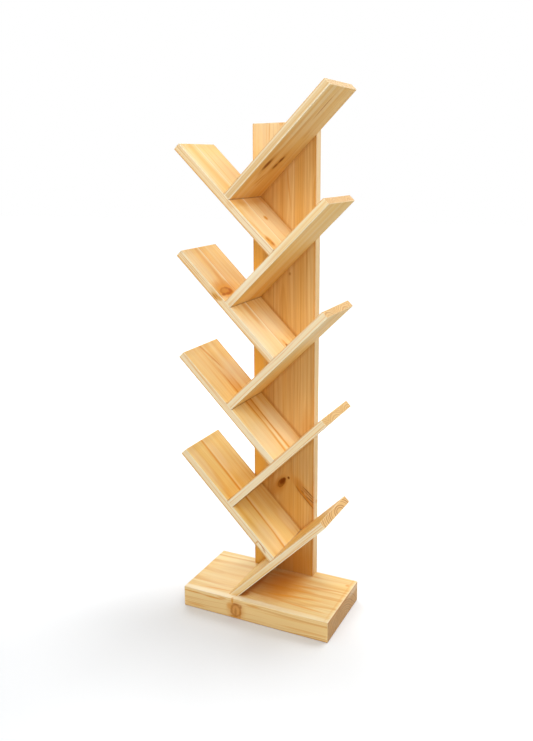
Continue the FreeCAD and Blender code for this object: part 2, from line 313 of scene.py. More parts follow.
def pine_figure_effect() -> NodeTree:
    """Builds the effect of the growth rings and stripes of a sawn pine board, on any of its faces.

    Returns:
        The node group.
    """
    effect = Effect(
        "pine figure",
        {"Local": VECTOR, "Pith": VECTOR, "Ring Width": NUMBER, "Wander": NUMBER,
         "Stripe Count": NUMBER, "Flatness": NUMBER, "Seed": NUMBER},
        {"Late": NUMBER, "Band": NUMBER, "Stripe": NUMBER, "Edge Line": NUMBER, "Fibre": NUMBER,
         "Sawn": NUMBER},
    )
    g, source = effect.graph, effect.source
    seeded = g.vector("ADD", source["Local"], g.vector("SCALE", SEED_SHIFT, source["Seed"]))
    slow = g.noise(g.vector("MULTIPLY", seeded, DRIFT_SCALE), detail=1.5)
    centred = g.centred(slow.outputs["Color"])
    drift = g.vector("SCALE", centred, source["Wander"])
    along, across, up = g.split(g.vector("ADD", g.vector("SUBTRACT", source["Local"], source["Pith"]), drift))
    radius = g.vector("LENGTH", g.join(0.0, g.times(across, source["Flatness"]), up))
    rings = g.math("DIVIDE", radius, source["Ring Width"])
    seasons = g.noise(g.join(g.times(rings, 0.45), source["Seed"], 0.0), detail=1.0)
    rings = g.plus(rings, g.times(seasons.outputs["Fac"], 1.6))
    season = g.math("FRACT", rings)
    late = g.times(g.fade(season, 0.2, 0.85), g.fade(season, 0.88, 1.0, 1.0, 0.0))
    year = g.node("ShaderNodeTexWhiteNoise", {"W": g.math("FLOOR", rings)}, noise_dimensions="1D")
    strength = g.plus(g.times(year.outputs["Value"], 0.8), 0.2)
    effect.give("Late", g.times(late, strength))
    band = g.noise(g.join(g.times(along, 1.1), g.times(across, 26.0), g.times(up, 26.0)), detail=1.0)
    effect.give("Band", g.fade(band.outputs["Fac"], 0.3, 0.7))
    drawn = g.join(g.times(along, 1.7), g.times(across, source["Stripe Count"]),
                   g.times(up, source["Stripe Count"]))
    stripe = g.noise(drawn, detail=3.0, roughness=0.66)
    effect.give("Stripe", g.fade(stripe.outputs["Fac"], 0.46, 0.74))
    line = g.noise(g.join(g.times(along, 2.0), source["Seed"], g.times(up, 260.0)))
    effect.give("Edge Line", g.fade(line.outputs["Fac"], 0.48, 0.68))
    fibre = g.noise(g.vector("MULTIPLY", seeded, FIBRE_SCALE), detail=2.0)
    effect.give("Fibre", fibre.outputs["Fac"])
    sawn = g.noise(g.join(source["Seed"], g.times(across, 230.0), g.times(up, 42.0)),
                   detail=3.0, roughness=0.7)
    effect.give("Sawn", g.fade(sawn.outputs["Fac"], 0.45, 0.68))
    return effect.tree


def mark_effect() -> NodeTree:
    """Builds one mark in the wood, such as a knot with the grain flowing round it, or a painted shadow or
    highlight.

    Returns:
        The node group.
    """
    effect = Effect(
        "wood mark",
        {"Local": VECTOR, "Ragged": VECTOR, "Centre": VECTOR, "Reach": VECTOR,
         "Tilt": NUMBER, "Flow Strength": NUMBER},
        {"Core": NUMBER, "Halo": NUMBER, "Rim": NUMBER, "Rings": NUMBER, "Flow": VECTOR},
    )
    g, source = effect.graph, effect.source
    offset = g.vector("SUBTRACT", source["Local"], source["Centre"])
    turned = g.node("ShaderNodeVectorRotate", {"Vector": offset, "Angle": source["Tilt"]},
                    rotation_type="Z_AXIS").outputs[0]
    scaled = g.vector("DIVIDE", turned, source["Reach"])
    rough = g.vector("LENGTH", g.vector("ADD", scaled, source["Ragged"]))
    effect.give("Core", g.fade(rough, *CORE_FADE, 1.0, 0.0))
    effect.give("Halo", g.fade(rough, *HALO_FADE, 1.0, 0.0))
    effect.give("Rim", g.times(g.fade(rough, *RIM_RISE), g.fade(rough, *RIM_FALL, 1.0, 0.0)))
    effect.give("Rings", g.math("PINGPONG", g.times(rough, KNOT_RINGS), 0.5))
    along, across, up = g.split(scaled)
    spread = g.plus(g.times(g.math("POWER", along, 2.0), 0.25), g.times(g.math("POWER", across, 2.0), 0.5))
    spread = g.plus(spread, g.times(g.math("POWER", up, 2.0), 0.2))
    pull = g.times(g.math("EXPONENT", g.times(spread, -1.0)), across)
    push = g.times(g.times(pull, g.split(source["Reach"])[1]), source["Flow Strength"])
    effect.give("Flow", g.join(0.0, g.times(push, -1.0), 0.0))
    return effect.tree


def arris_wear_and_highlight_effect() -> NodeTree:
    """Builds worn arrises with a painted highlight: a mask that is full on a box's edges and ragged where it
    ends.

    Returns:
        The node group.
    """
    effect = Effect(
        "arris wear and painted highlight",
        {"Local": VECTOR, "Centre": VECTOR, "Half Size": VECTOR, "Width": NUMBER},
        {"Arris": NUMBER},
    )
    g, source = effect.graph, effect.source
    inward = g.vector("ABSOLUTE", g.vector("SUBTRACT", source["Local"], source["Centre"]))
    depths = g.split(g.vector("SUBTRACT", source["Half Size"], inward))
    pairs = ((0, 1), (1, 2), (0, 2))
    deeper = [g.math("MAXIMUM", depths[a], depths[b]) for a, b in pairs]
    nearest = g.math("MINIMUM", g.math("MINIMUM", deeper[0], deeper[1]), deeper[2])
    ragged = g.noise(g.vector("SCALE", source["Local"], 160.0), detail=2.0)
    width = g.times(source["Width"], g.plus(ragged.outputs["Fac"], 0.5))
    effect.give("Arris", g.fade(nearest, g.times(width, 0.3), width, 1.0, 0.0))
    return effect.tree


def corner_shade_effect() -> NodeTree:
    """Builds the painted shade in the corners above and below a ladder of boards.

    Returns:
        The node group.
    """
    effect = Effect(
        "painted corner shade",
        {"Local": VECTOR, "Facing": VECTOR, "Slope": NUMBER, "Start": NUMBER, "Foot": NUMBER,
         "Spacing": NUMBER, "Drop": NUMBER, "Reach": NUMBER, "Top": NUMBER},
        {"Corner": NUMBER},
    )
    g, source = effect.graph, effect.source
    along, across, _up = g.split(source["Local"])
    sideways = g.times(across, source["Slope"])
    height = g.minus(g.minus(along, sideways), source["Start"])
    place = g.math("FLOORED_MODULO", height, source["Spacing"])
    above = g.fade(place, 0.0, source["Reach"], 1.0, 0.0)
    underside = g.minus(source["Spacing"], source["Drop"])
    below = g.fade(place, g.minus(underside, source["Reach"]), underside, 0.0, 0.7)
    inside = g.times(g.math("LESS_THAN", along, source["Top"]),
                     g.math("GREATER_THAN", sideways, source["Foot"]))
    inside = g.times(inside, g.fade(g.split(source["Facing"])[2], 0.5, 0.9))
    effect.give("Corner", g.times(g.math("MAXIMUM", above, below), inside))
    return effect.tree


@dataclass(frozen=True)
class Effects:
    """The shared effects, each built once."""

    axes: NodeTree
    staves: NodeTree
    figure: NodeTree
    mark: NodeTree
    arris: NodeTree
    corner: NodeTree

    @staticmethod
    def build() -> "Effects":
        """Builds every shared effect."""
        return Effects(piece_axes_effect(), staves_effect(), pine_figure_effect(), mark_effect(),
                       arris_wear_and_highlight_effect(), corner_shade_effect())


@dataclass(frozen=True)
class Axes:
    """A wooden piece's own axes: along its grain, across its width and up out of its best face."""

    origin: Number3
    along: Number3
    across: Number3
    up: Number3
    low: Number3
    high: Number3

    def centre(self) -> Number3:
        """Gives the middle of the piece's box, in its own axes."""
        return tuple((low + high) / 2 for low, high in zip(self.low, self.high))

    def half_size(self) -> Number3:
        """Gives half the size of the piece's box, in its own axes."""
        return tuple((high - low) / 2 for low, high in zip(self.low, self.high))


@dataclass(frozen=True)
class MarkLook:
    """How a kind of mark looks: its colour, how ragged it is, and if the grain flows round it."""

    colour: str
    ragged: float
    flows: bool


class MarkKind(Enum):
    """What a mark in the wood is; some kinds are also laid as painted light and shade."""

    KNOT = MarkLook("knot", 0.4, True)
    HEARTWOOD = MarkLook("heart_and_shade", 0.8, False)
    RESIN = MarkLook("resin", 0.8, False)
    CORE = MarkLook("knot", 0.8, False)
    HONEY = MarkLook("honey", 0.8, False)
    PALE = MarkLook("pale", 0.7, False)
    JOINT = MarkLook("joint", 0.0, False)


KNOT, HEARTWOOD, RESIN, CORE, HONEY, PALE, JOINT = MarkKind


@dataclass(frozen=True)
class Mark:
    """One mark in the wood, in the piece's own axes."""

    kind: MarkKind
    centre: Number3
    reach: Number3
    strength: float = 1.0
    tilt: float = 0.0
    darkness: float = 0.3


@dataclass(frozen=True)
class BoardLadder:
    """The boards of one side as they cross a piece's face: their slope there, how they repeat, and the
    painted shade in the corners along them.
    """

    slope: float
    start: float
    foot: float
    spacing: float
    drop: float
    top: float
    reach: float = 0.014
    strength: float = 0.45


@dataclass(frozen=True)
class Palette:
    """The colours of a pine board under clear varnish, and of the light and shade painted over it."""

    early: Number3 = (252, 222, 158)
    band: Number3 = (243, 195, 98)
    late: Number3 = (226, 160, 52)
    end: Number3 = (227, 185, 119)
    end_late: Number3 = (190, 132, 66)
    edge: Number3 = (255, 235, 196)
    edge_late: Number3 = (240, 186, 118)
    seam: Number3 = (204, 138, 58)
    # Worn arrises, with a painted highlight on them.
    arris: Number3 = (255, 240, 208)
    knot: Number3 = (188, 104, 10)
    knot_ring: Number3 = (226, 172, 74)
    halo: Number3 = (236, 174, 70)
    # Heartwood, and the painted shade on the base's top and at the spine's foot.
    heart_and_shade: Number3 = (226, 158, 56)
    # Resin, and the painted shadow on the base's top.
    resin: Number3 = (184, 102, 10)
    # The painted shade in the corners along the boards.
    corner: Number3 = (206, 136, 44)
    # Pale wood, and painted highlights and light.
    pale: Number3 = (255, 243, 212)
    honey: Number3 = (243, 195, 98)
    # Dark joints, and broad painted shade on some boards.
    joint: Number3 = (144, 80, 14)


BOARD_PALETTE = Palette()
RINGED_END_PALETTE = replace(BOARD_PALETTE, end=(238, 196, 132), end_late=(178, 110, 46))
DULL_END_PALETTE = replace(BOARD_PALETTE, end=(218, 174, 110))
YELLOW_BOARD_PALETTE = replace(BOARD_PALETTE, early=(249, 219, 148), band=(238, 192, 92))
UPPER_BOARD_PALETTE = replace(BOARD_PALETTE, early=(248, 217, 156), band=(238, 189, 97),
                              edge=(253, 234, 198), edge_late=(226, 172, 112))
TOP_BOARD_PALETTE = replace(UPPER_BOARD_PALETTE, edge=(226, 198, 156), edge_late=(206, 160, 108),
                            end=(231, 197, 141), heart_and_shade=(214, 148, 50), knot=(130, 68, 0),
                            resin=(190, 120, 44))
SPINE_PALETTE = replace(BOARD_PALETTE, early=(245, 212, 148), band=(232, 178, 86), late=(204, 134, 40),
                        seam=(184, 114, 40), edge=(252, 229, 180), edge_late=(232, 182, 112),
                        heart_and_shade=(222, 152, 52), resin=(178, 104, 24), halo=(214, 148, 48), knot=(136, 72, 6),
                        knot_ring=(190, 120, 26), pale=(255, 236, 198), honey=(255, 204, 100))
# The base's resin colour is also that of the painted shadow on its top.
BASE_PALETTE = replace(BOARD_PALETTE, early=(243, 219, 164), band=(234, 190, 108), late=(216, 150, 52),
                       end=(198, 148, 92), end_late=(150, 98, 48), edge=(253, 216, 151),
                       edge_late=(230, 170, 94), heart_and_shade=(226, 151, 46), knot=(170, 92, 26),
                       knot_ring=(228, 166, 90), halo=(226, 158, 74), resin=(198, 118, 0))


@dataclass(frozen=True)
class PineFinish:
    """Clear-varnished pine with its own figure, staves and marks, with painted light and shade among the
    marks and in the corners.
    """

    seed: float
    pith: Number3 = (0.0, 0.004, -0.055)
    ring_width: float = 0.0075
    wander: float = 0.014
    flatness: float = 1.0
    stave_width: float = 0.099
    first_seam: float = 0.0
    stave_spread: float = 1.0
    stave_contrast: float = 0.12
    band_share: float = 0.7
    rings: float = 0.25
    stripes: float = 0.45
    stripe_count: float = 55.0
    seam_share: float = 0.4
    end_share: float = 0.8
    sawn_share: float = 0.15
    edge_share: float = 0.85
    arris_share: float = 0.3
    arris_width: float = 0.0022
    roughness: float = 0.42
    roughness_spread: float = 0.1
    grain_flow: float = 1.6
    late_polish: float = 0.06
    late_height: float = 0.35
    fibre_height: float = 0.3
    seam_depth: float = 0.6
    relief: float = 0.25
    relief_depth: float = 0.0004
    varnish: float = 0.04
    varnish_roughness: float = 0.22
    refraction: float = 1.45
    gloss: float = 0.13
    marks: Tuple[Mark, ...] = ()
    ladders: Tuple[BoardLadder, ...] = ()
    palette: Palette = BOARD_PALETTE

    def material(self, name: str, axes: Axes, effects: Effects) -> Material:
        """Builds the material of one piece.

        Args:
            name: The material's name.
            axes: The piece's own axes and box.
            effects: The shared effects.

        Returns:
            The finished material.
        """
        material = bpy.data.materials.new(name)
        g = empty_graph(material)
        place = g.effect(effects.axes, {"Origin": axes.origin, "Along": axes.along, "Across": axes.across,
                                        "Up": axes.up})
        local, facing = place.outputs["Local"], place.outputs["Facing"]
        marks = self._place_marks(g, local, effects)
        staves = g.effect(effects.staves, {"Local": local, "Width": self.stave_width, "Seed": self.seed,
                                           "First Seam": self.first_seam, "Spread": self.stave_spread})
        flowing = g.vector("ADD", local, staves.outputs["Shift"])
        for mark, node in marks:
            if mark.kind.value.flows:
                flowing = g.vector("ADD", flowing, node.outputs["Flow"])
        figure = g.effect(effects.figure, {"Local": flowing, "Pith": self.pith, "Ring Width": self.ring_width,
                                           "Wander": self.wander, "Stripe Count": self.stripe_count,
                                           "Flatness": self.flatness, "Seed": self.seed})
        arris = g.effect(effects.arris, {"Local": local, "Centre": axes.centre(),
                                         "Half Size": axes.half_size(), "Width": self.arris_width})
        colour = self._wood(g, figure, staves)
        colour = self._faces(g, colour, facing, figure)
        for mark, node in marks:
            colour = self._lay_mark(g, colour, mark, node)
        # Painted shade in the corners along each ladder of boards.
        for ladder in self.ladders:
            corner = g.effect(effects.corner, {"Local": local, "Facing": facing, "Slope": ladder.slope,
                                               "Start": ladder.start, "Foot": ladder.foot,
                                               "Spacing": ladder.spacing, "Drop": ladder.drop,
                                               "Reach": ladder.reach, "Top": ladder.top})
            share = g.times(corner.outputs["Corner"], ladder.strength)
            colour = g.mix(share, colour, tint(*self.palette.corner))
        # Worn arrises, with a painted highlight laid on them.
        colour = g.mix(g.times(arris.outputs["Arris"], self.arris_share), colour, tint(*self.palette.arris))
        late, fibre = figure.outputs["Late"], figure.outputs["Fibre"]
        roughness = g.plus(g.times(late, -self.late_polish),
                           g.fade(fibre, 0.2, 0.8, self.roughness, self.roughness + self.roughness_spread))
        height = g.plus(g.times(late, self.late_height), g.times(fibre, self.fibre_height))
        height = g.minus(height, g.times(staves.outputs["Seam"], self.seam_depth))
        bump = g.node("ShaderNodeBump", {"Height": height, "Strength": self.relief,
                                         "Distance": self.relief_depth})
        shader = g.node("ShaderNodeBsdfPrincipled", {"Base Color": colour, "Roughness": roughness,
                                                     "Normal": bump.outputs[0], "Coat Weight": self.varnish,
                                                     "Coat Roughness": self.varnish_roughness,
                                                     "IOR": self.refraction,
                                                     "Specular IOR Level": self.gloss})
        g.node("ShaderNodeOutputMaterial", {"Surface": shader.outputs[0]})
        return material

    def _place_marks(self, g: Graph, local: NodeSocket, effects: Effects) -> List[Tuple[Mark, Node]]:
        """Places one effect for each mark, all with the same ragged outline.

        Args:
            g: The material's graph.
            local: The point in the piece's own axes.
            effects: The shared effects.

        Returns:
            Each mark with its effect, in the order in which they lie over one another.
        """
        if not self.marks:
            return []
        rough = g.noise(g.vector("MULTIPLY", local, RAGGED_SCALE), detail=2.0)
        ragged = g.centred(rough.outputs["Color"])
        placed = []
        for mark in self.marks:
            node = g.effect(effects.mark, {
                "Local": local, "Ragged": g.vector("SCALE", ragged, mark.kind.value.ragged),
                "Centre": mark.centre, "Reach": mark.reach, "Tilt": mark.tilt,
                "Flow Strength": self.grain_flow,
            })
            placed.append((mark, node))
        return placed

    def _wood(self, g: Graph, figure: Node, staves: Node) -> NodeSocket:
        """Gives the colour of the sawn wood, with its bands, rings, stripes, fibres and glued seams.

        Args:
            g: The material's graph.
            figure: The placed effect of the growth rings.
            staves: The placed effect of the staves.

        Returns:
            The colour.
        """
        p = self.palette
        colour = g.mix(g.times(figure.outputs["Band"], self.band_share), tint(*p.early), tint(*p.band))
        colour = g.mix(g.times(figure.outputs["Late"], self.rings), colour, tint(*p.late))
        colour = g.mix(g.times(figure.outputs["Stripe"], self.stripes), colour, tint(*p.late))
        fibre = g.fade(figure.outputs["Fibre"], 0.25, 0.75, 0.95, 1.03)
        tone = g.plus(g.times(staves.outputs["Tone"], self.stave_contrast), 1.0)
        shade = g.times(fibre, tone)
        colour = g.mix(1.0, colour, g.join(shade, shade, shade), "MULTIPLY")
        return g.mix(g.times(staves.outputs["Seam"], self.seam_share), colour, tint(*p.seam))

    def _faces(self, g: Graph, colour: NodeSocket, facing: NodeSocket, figure: Node) -> NodeSocket:
        """Lays end grain over the ends, and the paler figure of rift-sawn wood over the long edges.

        Args:
            g: The material's graph.
            colour: The wood's colour so far.
            facing: The way the surface faces, in the piece's own axes.
            figure: The placed effect of the growth rings.

        Returns:
            The colour.
        """
        p = self.palette
        along, across, _up = g.split(facing)
        end = g.mix(figure.outputs["Late"], tint(*p.end), tint(*p.end_late))
        end = g.mix(g.times(figure.outputs["Sawn"], self.sawn_share), end, tint(*p.end_late))
        on_end = g.fade(g.math("ABSOLUTE", along), *FACE_TURN, 0.0, self.end_share)
        on_edge = g.fade(g.math("ABSOLUTE", across), *FACE_TURN, 0.0, self.edge_share)
        edge = g.mix(figure.outputs["Edge Line"], tint(*p.edge), tint(*p.edge_late))
        return g.mix(on_edge, g.mix(on_end, colour, end), edge)

    def _lay_mark(self, g: Graph, colour: NodeSocket, mark: Mark, node: Node) -> NodeSocket:
        """Lays one mark over the wood's colour.

        Args:
            g: The material's graph.
            colour: The wood's colour so far.
            mark: The mark.
            node: Its placed effect.

        Returns:
            The colour.
        """
        p = self.palette
        core, halo = node.outputs["Core"], node.outputs["Halo"]
        if mark.kind.value.flows:
            colour = g.mix(g.times(halo, HALO_SHARE * mark.strength), colour, tint(*p.halo))
            rings = g.fade(node.outputs["Rings"], 0.05, 0.35, 0.9 * mark.darkness + 0.1, mark.darkness)
            ringed = g.mix(rings, tint(*p.knot_ring), tint(*p.knot))
            colour = g.mix(g.times(core, CORE_SHARE * mark.strength), colour, ringed)
            return g.mix(g.times(node.outputs["Rim"], RIM_SHARE * mark.strength), colour, tint(*p.knot))
        over = getattr(p, mark.kind.value.colour)
        return g.mix(g.times(halo, mark.strength), colour, tint(*over))


@dataclass(frozen=True)
class BeechFinish:
    """Bare turned beech, for the dowels."""

    colour: Number3 = (206, 160, 116)
    fleck: Number3 = (166, 116, 74)

    def material(self, name: str) -> Material:
        """Builds the material: close grain with the short dark flecks of beech.

        Args:
            name: The material's name.

        Returns:
            The finished material.
        """
        material = bpy.data.materials.new(name)
        g = empty_graph(material)
        place = g.node("ShaderNodeTexCoord").outputs["Object"]
        fleck = g.noise(g.vector("MULTIPLY", place, (900.0, 900.0, 260.0)), detail=2.0)
        tone = g.noise(g.vector("SCALE", place, 90.0), detail=2.0)
        colour = g.mix(g.fade(fleck.outputs["Fac"], 0.56, 0.66), tint(*self.colour), tint(*self.fleck))
        colour = g.mix(g.fade(tone.outputs["Fac"], 0.3, 0.8, 0.0, 0.3), colour, tint(*self.fleck))
        roughness = g.fade(fleck.outputs["Fac"], 0.3, 0.7, 0.5, 0.65)
        bump = g.node("ShaderNodeBump", {"Height": fleck.outputs["Fac"], "Strength": 0.3, "Distance": 0.0002})
        shader = g.node("ShaderNodeBsdfPrincipled", {"Base Color": colour, "Roughness": roughness,
                                                     "Normal": bump.outputs[0]})
        g.node("ShaderNodeOutputMaterial", {"Surface": shader.outputs[0]})
        return material


@dataclass(frozen=True)
class ZincFinish:
    """Zinc-plated steel, for the screws."""

    colour: Number3 = (205, 204, 198)
    stain: Number3 = (150, 146, 136)

    def material(self, name: str) -> Material:
        """Builds the material: bright plating with fine brushing and faint duller patches.

        Args:
            name: The material's name.

        Returns:
            The finished material.
        """
        material = bpy.data.materials.new(name)
        g = empty_graph(material)
        place = g.node("ShaderNodeTexCoord").outputs["Object"]
        patch = g.noise(g.vector("SCALE", place, 420.0), detail=3.0)
        brushing = g.noise(g.vector("MULTIPLY", place, (400.0, 400.0, 4200.0)), detail=2.0)
        colour = g.mix(g.fade(patch.outputs["Fac"], 0.45, 0.75), tint(*self.colour), tint(*self.stain))
        roughness = g.plus(g.fade(patch.outputs["Fac"], 0.3, 0.7, 0.24, 0.4),
                           g.times(brushing.outputs["Fac"], 0.1))
        bump = g.node("ShaderNodeBump", {"Height": brushing.outputs["Fac"], "Strength": 0.2,
                                         "Distance": 0.0001})
        shader = g.node("ShaderNodeBsdfPrincipled", {"Base Color": colour, "Roughness": roughness,
                                                     "Normal": bump.outputs[0], "Metallic": 1.0})
        g.node("ShaderNodeOutputMaterial", {"Surface": shader.outputs[0]})
        return material


def dress(node_name: str, material: Material) -> None:
    """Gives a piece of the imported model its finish.

    Args:
        node_name: The piece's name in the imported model.
        material: The finish.
    """
    piece = frame["nodes"][node_name]
    for holder in piece.material_slots:
        holder.material = material
    log.info("dressed %s in %s", node_name, material.name)


class Side(Enum):
    """The side that a board slopes up to, with the sign of X towards its tip."""

    RIGHT = 1
    LEFT = -1


@dataclass
class SlopingBoards:
    """The nine boards that zigzag up the spine."""

    effects: Effects
    length: float = 0.384
    depth: float = 0.198
    thickness: float = 0.021
    rise: float = 0.1405
    first_height: float = 0.06
    middle: float = -0.008
    end_x: Dict[Side, float] = field(default_factory=lambda: {Side.RIGHT: -0.08375, Side.LEFT: 0.05675})
    landing: float = 0.1987

    def axes(self, number: int, side: Side) -> Axes:
        """Gives a board's own axes: the origin is the upper corner of its lower end."""
        slope = math.sqrt(0.5)
        return Axes(
            origin=(self.end_x[side], self.middle, self.first_height + number * self.rise),
            along=(side.value * slope, 0.0, slope), across=(0.0, 1.0, 0.0),
            up=(-side.value * slope, 0.0, slope),
            low=(0.0, -self.depth / 2, -self.thickness), high=(self.length, self.depth / 2, 0.0),
        )

    def joint_marks(self, number: int) -> Tuple[Mark, ...]:
        """Gives the fine dark lines where the board stands, and where the next one stands on it.

        Args:
            number: The board's place from below, from 0.

        Returns:
            The marks.
        """
        wide = (0.0012, 0.2, 0.0012)
        places = [(0.0, 0.0, 0.0), (0.0, 0.0, -self.thickness)]
        if number < len(BOARD_FINISHES) - 1:
            places += [(self.landing, 0.0, 0.0), (self.landing - self.thickness, 0.0, 0.0)]
        return tuple(Mark(JOINT, place, wide, 0.55) for place in places)

    def arris_lines_and_highlights(self, side: Side) -> Tuple[Mark, ...]:
        """Gives the paler lines, painted highlights among them, and the deeper lines that run along the
        arrises.

        Args:
            side: The side that the board slopes up to.

        Returns:
            The marks.
        """
        front, middle, foot = -self.depth / 2, self.length / 2, -self.thickness
        if side is Side.RIGHT:
            return (
                # A painted highlight along the lower front arris.
                Mark(PALE, (middle, front, foot), (ENDLESS, 0.0014, 0.0016), 0.85),
                Mark(PALE, (middle, front, -0.0048), (ENDLESS, 0.0014, 0.0013), 0.5),
                Mark(HEARTWOOD, (middle, front, 0.0), (ENDLESS, 0.0012, 0.0012), 0.85),
                Mark(HEARTWOOD, (middle, -front, 0.0), (ENDLESS, 0.0028, 0.0022), 0.9),
            )
        return (
            # A painted highlight along the upper front arris.
            Mark(PALE, (middle, front, 0.0), (ENDLESS, 0.0014, 0.0016), 0.6),
            Mark(HEARTWOOD, (middle, front, foot), (ENDLESS, 0.0012, 0.0024), 0.8),
            Mark(RESIN, (middle, 0.004 - front, 0.0), (ENDLESS, 0.006, 0.002), 0.5),
            Mark(JOINT, (self.length, 0.0, 0.0), (0.012, 0.3, 0.006), 0.1),
        )

    def dress(self) -> None:
        """Dresses every board in its own piece of pine."""
        for number, finish in enumerate(BOARD_FINISHES):
            side = (Side.RIGHT, Side.LEFT)[number % 2]
            name = f"{side.name.lower()}_board_{number // 2 + 1}"
            marks = finish.marks + self.arris_lines_and_highlights(side) + self.joint_marks(number)
            whole = replace(finish, marks=marks)
            dress(name, whole.material(f"pine_{name}", self.axes(number, side), self.effects))


# Where a board's under face and front edge lie in its own axes.
UNDER = -0.021
FRONT = -0.099


def patches(kind: MarkKind, *rows: Tuple[float, ...], up: float = 0.0,
            deep: float = 0.01) -> Tuple[Mark, ...]:
    """Gives marks of one kind on a piece's upper or under face.

    Args:
        kind: What the marks are.
        *rows: The middle of each along and across, its reach along and across, and its strength.
        up: The height of the face, in the piece's own axes.
        deep: How deep they reach.

    Returns:
        The marks, in the order of the rows.
    """
    return tuple(Mark(kind, (row[0], row[1], up), (row[2], row[3], deep), row[4]) for row in rows)


def front_marks(kind: MarkKind, *rows: Tuple[float, ...], front: float = FRONT,
                deep: float = 0.01) -> Tuple[Mark, ...]:
    """Gives marks of one kind on a piece's front face.

    Args:
        kind: What the marks are.
        *rows: The middle of each along and up, its reach along and up, and its strength.
        front: Where the face is across the piece.
        deep: How deep they reach.

    Returns:
        The marks, in the order of the rows.
    """
    return tuple(Mark(kind, (row[0], front, row[1]), (row[2], deep, row[3]), row[4]) for row in rows)


def streaks(kind: MarkKind, *rows: Tuple[float, ...], up: float = 0.0) -> Tuple[Mark, ...]:
    """Gives straight streaks of one kind on a piece's upper or under face.

    Args:
        kind: What the streaks are.
        *rows: The two ends of each, along and across, then its half width and its strength.
        up: The height of the face, in the piece's own axes.

    Returns:
        The marks, in the order of the rows.
    """
    marks = []
    for start, start_across, end, end_across, width, strength in rows:
        along, across = end - start, end_across - start_across
        middle = ((start + end) / 2, (start_across + end_across) / 2, up)
        reach = (math.hypot(along, across) / 3, width, 0.006)
        marks.append(Mark(kind, middle, reach, strength, tilt=-math.atan2(across, along)))
    return tuple(marks)


def edge_tone(kind: MarkKind, along: float, half: float, strength: float) -> Mark:
    """Gives a change of tone over one stretch of a board's front edge."""
    return Mark(kind, (along, FRONT, UNDER / 2), (half, 0.0008, 0.04), strength)


